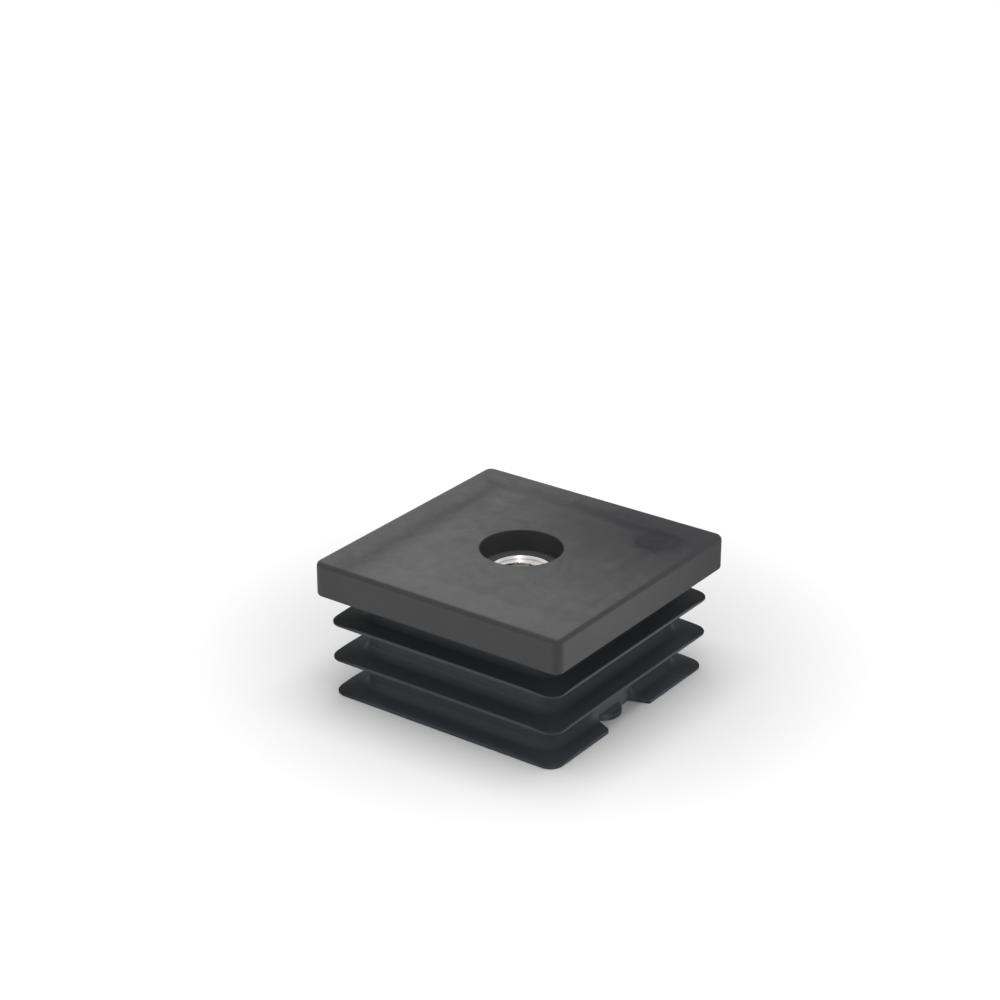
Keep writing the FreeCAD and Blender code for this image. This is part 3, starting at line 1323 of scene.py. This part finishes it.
    def fin_levels(self, low_z: float, reach: float) -> list[tuple[float, float]]:
        """Section of a fin's upper face.

        Args:
            low_z: Height of its underside.
            reach: Distance of its rim from the stem's wall.

        Returns:
            Heights with their distances from the wall, from the top of the root's round to the rim.
        """
        slope = (self.fin_root_thick - self.fin_rim_thick) / reach
        tilt = math.atan(slope)
        big = self.fin_root_round
        rim_z = low_z + self.fin_rim_thick
        end = big * (1 - math.sin(tilt))
        centre_z = rim_z + slope * (reach - end) + big * math.cos(tilt)
        levels = [(centre_z - big * math.sin(a), big * (1 - math.cos(a)))
                  for a in arc_steps(self.ROOT_POINTS, 0, 90 - math.degrees(tilt))]
        for share in self.SLOPE_SHARES:
            gap = end + (reach - self.fin_rim_round - end) * share
            levels.append((rim_z + slope * (reach - gap), gap))
        return levels

    def fin_rings(self, index: int) -> list[Points]:
        """One fin, from the stem above it, round its rim, to its flat underside.

        Args:
            index: The fin's number, 0 at the foot.

        Returns:
            The rings. Those of the lowest fin carry the notch and the gate mark.
        """
        lead = index == 0
        spread = Spread.NOTCHED if lead else Spread.EVEN
        low_z = self.fin_pitch * index
        reach = (self.lead_fin_side if lead else self.fin_side) / 2 - self.root_x
        fall = (self.fin_root_thick - self.fin_rim_thick) / reach
        levels = [(z, gap, None) for z, gap in self.fin_levels(low_z, reach)]
        if lead:
            heights, gaps = zip(*((z, gap) for z, gap, _ in reversed(levels)))
            levels = [(z, gap, None if z > self.gate_thick else 0.0) for z, gap, _ in levels]
            edge = self.gate_round
            for drop, inset in ((0.0, None), (0.0, edge), (0.3 * edge, 0.35 * edge), (edge, 0.0)):
                z = self.gate_thick - drop
                levels.append((z, float(np.interp(z, heights, gaps)), inset))
            # Levels go down, and the bare wall comes before the gate mark's top at the same height
            levels.sort(key=lambda level: (-level[0], level[2] is not None, -(level[2] or 0.0)))
            levels = [level for level in levels
                      if level[2] != 0.0 or level[0] <= self.gate_thick - edge]
        rings = [self.fin_ring(gap, self.stem_corner_r + gap, z, spread, tab) for z, gap, tab in levels]
        shoulder = levels[-1][0]
        soft = soft_edge(self.fin_rim_round, self.SOFT_POINTS)
        gate_soft = soft_edge(self.gate_round, self.SOFT_POINTS)
        rim = [(shoulder - drop, drawn, 0.0, fall) for drawn, drop in soft]
        rim += [(low_z + up, drawn, inset, 0.0) for (up, drawn), (_, inset) in zip(soft, gate_soft)]
        for z, drawn, inset, lean in rim:
            tab = inset if lead else None
            rings.append(self.fin_ring(reach - drawn, self.fin_corner_r - drawn, z, spread, tab, lean))
        if not lead:
            rings += self.under_rings(low_z)
        return rings

    def core_ring(self, z: float, inset: float = 0.0) -> Points:
        """Ring round the hollow of the stem at one height."""
        half = self.stem_side / 2 - self.stem_wall - self.draft * z + inset
        return self.square_ring(half, self.core_corner_r, z, Spread.RIBBED)

    def foot_rings(self) -> list[Points]:
        """Foot of the stem and the hollow's wall up to the ribs.

        Returns:
            The rings.
        """
        rings = [self.fin_ring(0.0, self.stem_corner_r, 0.0, Spread.NOTCHED)]
        rings += [self.core_ring(up, drawn) for drawn, up in soft_edge(self.foot_round, self.FINE_POINTS)]
        rings.append(self.core_ring(self.boss_lift))
        return rings

    def cell_outline(self, z: float, inset: float = 0.0) -> Points:
        """Outline of the hollow between two ribs, the boss and the stem's wall, in the +X+Y quarter.

        Args:
            z: Height of the outline.
            inset: How far the outline is drawn in, for the rounding at the ceiling.

        Returns:
            Rows of X, Y and Z.
        """
        half = self.stem_side / 2 - self.stem_wall - self.draft * z - inset
        wall = self.square_ring(half, self.core_corner_r, z, Spread.RIBBED)[:self.quarter_steps + 1, :2]
        wall = wall[self.RIB_STEPS:len(wall) - self.RIB_STEPS]
        rib = self.rib_thick / 2 + inset
        wall = np.maximum(wall, rib)
        boss = self.insert.band_r + self.boss_wall + inset
        start = math.asin(rib / boss)
        arc = polar(boss, np.linspace(math.pi / 2 - start, start, self.BOSS_POINTS))
        down = np.linspace(wall[-1], arc[0], self.RIB_SIDE_POINTS)[1:-1]
        back = np.linspace(arc[-1], wall[0], self.RIB_SIDE_POINTS)[1:-1]
        return at_height(np.concatenate([wall, down, arc, back]), z)

    def add_cells(self, draft: MeshDraft) -> None:
        """Add the four hollows between the ribs and the flat lower faces of the boss and ribs.

        Args:
            draft: The mesh to add them to.
        """
        ceiling_z = self.top_z - self.head_skin
        levels = [(self.boss_lift, 0.0), (ceiling_z / 2, 0.0)]
        soft = soft_edge(self.ceiling_round, self.SOFT_POINTS)
        levels += [(ceiling_z - drop, inset) for drop, inset in soft]
        outline = [self.cell_outline(z, inset) for z, inset in levels]
        wall = self.core_ring(self.boss_lift)
        outlet = self.circle_ring(self.outlet_r, self.boss_lift)
        count = self.ring_steps
        wall_points = self.quarter_steps + 1 - 2 * self.RIB_STEPS
        for quarter in range(4):
            turned = [at_height(turned_flat(ring[:, :2], quarter), ring[0, 2]) for ring in outline]
            draft.sweep(turned)
            draft.face(turned[-1])
            first = quarter * self.quarter_steps
            last = first + self.quarter_steps
            rib_end = wall[first:first + self.RIB_STEPS]
            inner = turned[0][wall_points - 1:]
            next_rib = wall[np.arange(last - self.RIB_STEPS + 1, last + 1) % count]
            hole = outlet[np.arange(last, first - 1, -1) % count]
            draft.face(np.concatenate([rib_end, turned[0][:1], inner[::-1], next_rib, hole]))

    def build(self) -> bpy.types.Object:
        """Make the body's mesh.

        Returns:
            The piece.
        """
        draft = MeshDraft()
        rings = self.pocket_rings() + self.seat_rings() + self.top_rings() + self.head_side_rings()
        for index in reversed(range(self.fin_count)):
            rings += self.fin_rings(index)
        rings += self.foot_rings()
        draft.sweep(rings)
        self.add_cells(draft)
        return draft.make("moulded_cap_body")

    def dress(self, piece: bpy.types.Object) -> None:
        """Give the piece its finish and its place in the frame.

        Args:
            piece: The piece.
        """
        piece.data.materials.append(self.finish.material())
        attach(piece, "root")
        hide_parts("cap_body")


@dataclass
class Studio:
    """Pale floor, soft light and the camera. Lengths here are in metres."""

    floor_half: float = 4.0
    camera_at: Triple = (0.17957, -0.25298, 0.16600)
    camera_back: Triple = (0.5352, -0.7392, 0.4088)
    camera_roll_deg: float = 0.12
    lens: float = 91.32
    sensor: float = 36.0
    horizon: Tone = grey(0.95)
    zenith: Tone = grey(0.55)
    softbox_size: float = 0.50
    softbox_at: Triple = (0.0, 0.04, 0.70)
    softbox_watts: float = 3.2
    board: PaleBoard = PaleBoard()

    def add_floor(self) -> None:
        """Lay the pale board that the cap stands on."""
        half = self.floor_half
        mesh = bpy.data.meshes.new("pale_floor")
        corners = [(-half, -half, 0), (half, -half, 0), (half, half, 0), (-half, half, 0)]
        mesh.from_pydata(corners, [], [(0, 1, 2, 3)])
        floor = add_object("pale_floor", mesh)
        mesh.materials.append(self.board.material())

    def add_sky(self) -> None:
        """Light the room evenly, brighter towards the horizon than overhead."""
        world = bpy.data.worlds.new("studio")
        bpy.context.scene.world = world
        maker = NodeMaker(world)
        ray = maker.add("ShaderNodeTexCoord", output="Generated")
        overhead = maker.axes(ray)[2].step(0.25, 0.95)
        tone = maker.blend(overhead, self.horizon, self.zenith)
        sky = maker.add("ShaderNodeBackground", inputs={"Color": tone, "Strength": 1.0})
        maker.finish(sky, "ShaderNodeOutputWorld")

    def add_softbox(self) -> None:
        """Hang one wide soft lamp overhead."""
        light = bpy.data.lights.new("softbox", "AREA")
        light.shape = "SQUARE"
        light.size = self.softbox_size
        light.energy = self.softbox_watts
        lamp = add_object("softbox", light)
        lamp.location = self.softbox_at
        lamp.rotation_euler = (-Vector(self.softbox_at)).to_track_quat("-Z", "Y").to_euler()

    def add_camera(self) -> None:
        """Set the camera and let the scene look through it."""
        data = bpy.data.cameras.new("camera")
        data.sensor_width = self.sensor
        data.lens = self.lens
        data.clip_start = 0.01
        camera = add_object("camera", data)
        back = Vector(self.camera_back).normalized()
        right = Vector((0, 0, 1)).cross(back).normalized()
        turn = Matrix((right, back.cross(right), back)).transposed().to_4x4()
        roll = Matrix.Rotation(math.radians(self.camera_roll_deg), 4, "Z")
        camera.matrix_world = Matrix.Translation(self.camera_at) @ turn @ roll
        bpy.context.scene.camera = camera

    def build(self) -> None:
        """Set up the floor, the light and the camera."""
        self.add_floor()
        self.add_sky()
        self.add_softbox()
        self.add_camera()
        bpy.context.scene.view_settings.view_transform = "Standard"


def main() -> None:
    """Build and dress the pieces, then the room round them."""
    logging.basicConfig(level=logging.INFO, format="%(name)s: %(message)s")
    insert = ThreadedInsert()
    for part in (insert, CapBody(insert)):
        piece = part.build()
        part.dress(piece)
        LOG.info("%s: %d faces", piece.name, len(piece.data.polygons))
    Studio().build()
    LOG.info("studio ready")


if __name__ == "__main__":
    main()
